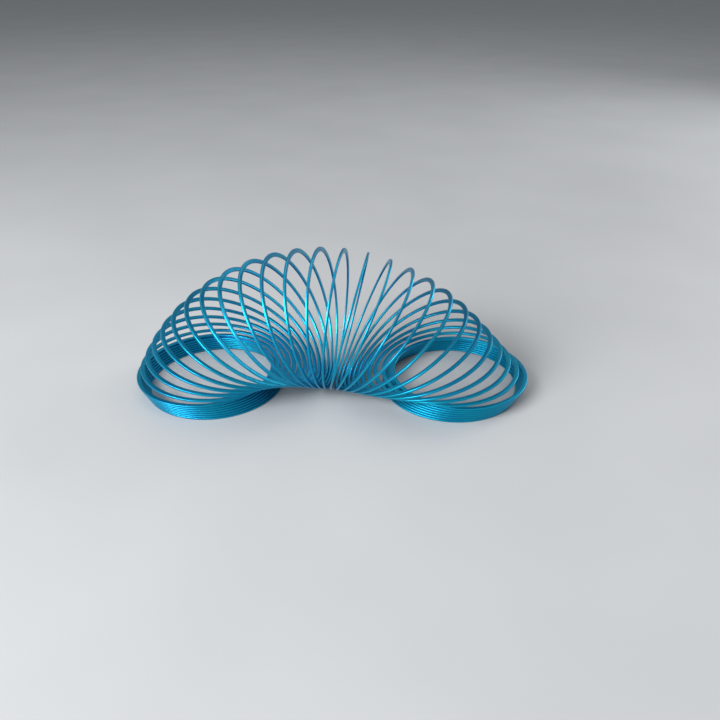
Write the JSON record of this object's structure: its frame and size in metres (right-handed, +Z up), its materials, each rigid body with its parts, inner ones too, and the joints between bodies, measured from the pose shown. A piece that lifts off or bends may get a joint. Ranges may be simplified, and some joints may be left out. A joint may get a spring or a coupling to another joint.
{
  "type": "spring coil toy",
  "caption": "Toy spring of flat moulded strip, standing as an arch with both end stacks flat on the table and its turns fanned over the crown.",
  "frame": {"origin": "on the table, midway between the two end stacks", "axes": "+Z up, +X towards the right-hand end stack; the arch stands in the XZ plane and +Y is behind it"},
  "size_m": [0.2154, 0.0798, 0.0777],
  "materials": {
    "coil": "pearl metallic blue, satin sheen"
  },
  "bodies": {
    "stack_left": {"stack_left": "coil"},
    "turn_01": {"turn_01": "coil"},
    "turn_02": {"turn_02": "coil"},
    "turn_03": {"turn_03": "coil"},
    "turn_04": {"turn_04": "coil"},
    "turn_05": {"turn_05": "coil"},
    "turn_06": {"turn_06": "coil"},
    "turn_07": {"turn_07": "coil"},
    "turn_08": {"turn_08": "coil"},
    "turn_09": {"turn_09": "coil"},
    "turn_10": {"turn_10": "coil"},
    "turn_11": {"turn_11": "coil"},
    "turn_12": {"turn_12": "coil"},
    "turn_13": {"turn_13": "coil"},
    "turn_14": {"turn_14": "coil"},
    "turn_15": {"turn_15": "coil"},
    "turn_16": {"turn_16": "coil"},
    "turn_17": {"turn_17": "coil"},
    "turn_18": {"turn_18": "coil"},
    "turn_19": {"turn_19": "coil"},
    "turn_20": {"turn_20": "coil"},
    "turn_21": {"turn_21": "coil"},
    "turn_22": {"turn_22": "coil"},
    "turn_23": {"turn_23": "coil"},
    "turn_24": {"turn_24": "coil"},
    "stack_right": {"stack_right": "coil"}
  },
  "joints": [
    {"name": "open_01", "type": "hinge", "parent": "stack_left", "child": "turn_01", "pos_m": [-0.10645, 0, 0.00808], "axis": [0, -1, 0], "range_deg": [0, 3.48]},
    {"name": "open_02", "type": "hinge", "parent": "turn_01", "child": "turn_02", "pos_m": [-0.10352, 0.00003, 0.01366], "axis": [-0.0004, -1, 0], "range_deg": [0, 5.02]},
    {"name": "open_03", "type": "hinge", "parent": "turn_02", "child": "turn_03", "pos_m": [-0.09985, 0.00019, 0.02061], "axis": [-0.0027, -1, 0], "range_deg": [0, 5.83]},
    {"name": "open_04", "type": "hinge", "parent": "turn_03", "child": "turn_04", "pos_m": [-0.0953, 0.00053, 0.02782], "axis": [-0.0075, -1, 0], "range_deg": [0, 6.44]},
    {"name": "open_05", "type": "hinge", "parent": "turn_04", "child": "turn_05", "pos_m": [-0.08976, 0.00105, 0.03513], "axis": [-0.0153, -0.9999, 0], "range_deg": [0, 6.94]},
    {"name": "open_06", "type": "hinge", "parent": "turn_05", "child": "turn_06", "pos_m": [-0.08313, 0.0017, 0.04244], "axis": [-0.0263, -0.9997, 0], "range_deg": [0, 7.36]},
    {"name": "open_07", "type": "hinge", "parent": "turn_06", "child": "turn_07", "pos_m": [-0.07536, 0.0024, 0.04956], "axis": [-0.0401, -0.9992, 0], "range_deg": [0, 7.73]},
    {"name": "open_08", "type": "hinge", "parent": "turn_07", "child": "turn_08", "pos_m": [-0.06641, 0.00301, 0.05626], "axis": [-0.056, -0.9984, 0], "range_deg": [0, 8.06]},
    {"name": "open_09", "type": "hinge", "parent": "turn_08", "child": "turn_09", "pos_m": [-0.05634, 0.00338, 0.06233], "axis": [-0.073, -0.9973, 0], "range_deg": [0, 8.35]},
    {"name": "open_10", "type": "hinge", "parent": "turn_09", "child": "turn_10", "pos_m": [-0.04522, 0.00337, 0.06758], "axis": [-0.0896, -0.996, 0], "range_deg": [0, 8.61]},
    {"name": "open_11", "type": "hinge", "parent": "turn_10", "child": "turn_11", "pos_m": [-0.03324, 0.0029, 0.07181], "axis": [-0.1041, -0.9946, 0], "range_deg": [0, 8.84]},
    {"name": "open_12", "type": "hinge", "parent": "turn_11", "child": "turn_12", "pos_m": [-0.02062, 0.00198, 0.07482], "axis": [-0.1151, -0.9934, 0], "range_deg": [0, 9.06]},
    {"name": "open_13", "type": "hinge", "parent": "turn_12", "child": "turn_13", "pos_m": [-0.00772, 0.00071, 0.07641], "axis": [-0.1211, -0.9926, 0], "range_deg": [0, 9.18]},
    {"name": "open_14", "type": "hinge", "parent": "turn_13", "child": "turn_14", "pos_m": [0.00522, -0.0007, 0.07638], "axis": [-0.1211, -0.9926, 0], "range_deg": [0, 8.98]},
    {"name": "open_15", "type": "hinge", "parent": "turn_14", "child": "turn_15", "pos_m": [0.01811, -0.00197, 0.07459], "axis": [-0.1152, -0.9933, 0], "range_deg": [0, 8.78]},
    {"name": "open_16", "type": "hinge", "parent": "turn_15", "child": "turn_16", "pos_m": [0.0304, -0.00289, 0.07116], "axis": [-0.1044, -0.9945, 0], "range_deg": [0, 8.56]},
    {"name": "open_17", "type": "hinge", "parent": "turn_16", "child": "turn_17", "pos_m": [0.04193, -0.00336, 0.06632], "axis": [-0.09, -0.9959, 0], "range_deg": [0, 8.31]},
    {"name": "open_18", "type": "hinge", "parent": "turn_17", "child": "turn_18", "pos_m": [0.05254, -0.00338, 0.06032], "axis": [-0.0736, -0.9973, 0], "range_deg": [0, 8.04]},
    {"name": "open_19", "type": "hinge", "parent": "turn_18", "child": "turn_19", "pos_m": [0.06215, -0.00303, 0.05344], "axis": [-0.0567, -0.9984, 0], "range_deg": [0, 7.72]},
    {"name": "open_20", "type": "hinge", "parent": "turn_19", "child": "turn_20", "pos_m": [0.07072, -0.00243, 0.04601], "axis": [-0.0407, -0.9992, 0], "range_deg": [0, 7.37]},
    {"name": "open_21", "type": "hinge", "parent": "turn_20", "child": "turn_21", "pos_m": [0.07827, -0.00173, 0.0384], "axis": [-0.0268, -0.9996, 0], "range_deg": [0, 6.96]},
    {"name": "open_22", "type": "hinge", "parent": "turn_21", "child": "turn_22", "pos_m": [0.08489, -0.00107, 0.03103], "axis": [-0.0157, -0.9999, 0], "range_deg": [0, 6.48]},
    {"name": "open_23", "type": "hinge", "parent": "turn_22", "child": "turn_23", "pos_m": [0.09076, -0.00055, 0.0242], "axis": [-0.0077, -1, 0], "range_deg": [0, 5.89]},
    {"name": "open_24", "type": "hinge", "parent": "turn_23", "child": "turn_24", "pos_m": [0.09607, -0.0002, 0.018], "axis": [-0.0028, -1, 0], "range_deg": [0, 5.1]},
    {"name": "open_25", "type": "hinge", "parent": "turn_24", "child": "stack_right", "pos_m": [0.10116, -0.00003, 0.01241], "axis": [-0.0005, -1, 0], "range_deg": [0, 3.59]}
  ]
}
